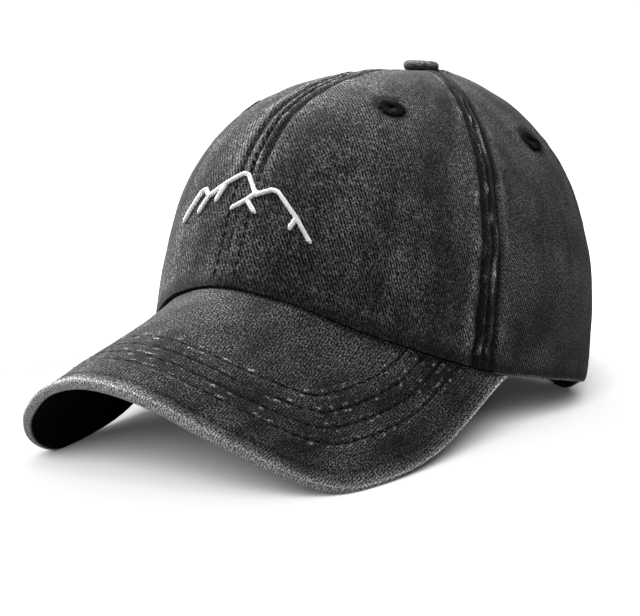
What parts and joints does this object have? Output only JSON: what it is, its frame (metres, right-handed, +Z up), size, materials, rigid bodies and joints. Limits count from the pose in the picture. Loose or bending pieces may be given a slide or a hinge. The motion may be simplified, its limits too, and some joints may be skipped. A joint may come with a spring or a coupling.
{
  "type": "ponytail baseball cap",
  "caption": "Washed cotton baseball cap with a curved brim, a teardrop ponytail slot under the button and a half-moon back opening closed by a strap and slide buckle.",
  "frame": {"origin": "under the middle of the cap's bounding box, on the surface it rests on", "axes": "+Z up, -Y the way the brim points, +X the wearer's left"},
  "size_m": [0.159, 0.275, 0.1392],
  "materials": {
    "crown_twill": "washed charcoal cotton twill, mottled, with light worn seams",
    "brim_twill": "washed charcoal cotton twill, stitched in rows, light worn edge",
    "binding_twill": "folded charcoal twill tape",
    "strap_twill": "charcoal twill strap, edge stitched",
    "sweatband_cotton": "plain black cotton band",
    "dark_thread": "near-black stitching thread",
    "white_thread": "white satin-stitch thread",
    "buckle_metal": "antique darkened brass"
  },
  "bodies": {
    "root": {"panel_front_left": "crown_twill", "panel_front_right": "crown_twill", "panel_side_left": "crown_twill", "panel_side_right": "crown_twill", "panel_back_left": "crown_twill", "panel_back_right": "crown_twill", "eyelet_front_left": "dark_thread", "eyelet_front_right": "dark_thread", "eyelet_side_left": "dark_thread", "eyelet_side_right": "dark_thread", "eyelet_back_left": "dark_thread", "eyelet_back_right": "dark_thread", "brim": "brim_twill", "binding_half_moon": "binding_twill", "binding_slot": "binding_twill", "strap": "strap_twill", "strap_tab": "strap_twill", "buckle": "buckle_metal", "sweatband": "sweatband_cotton", "button": "crown_twill", "mountain_embroidery": "white_thread"}
  },
  "joints": []
}
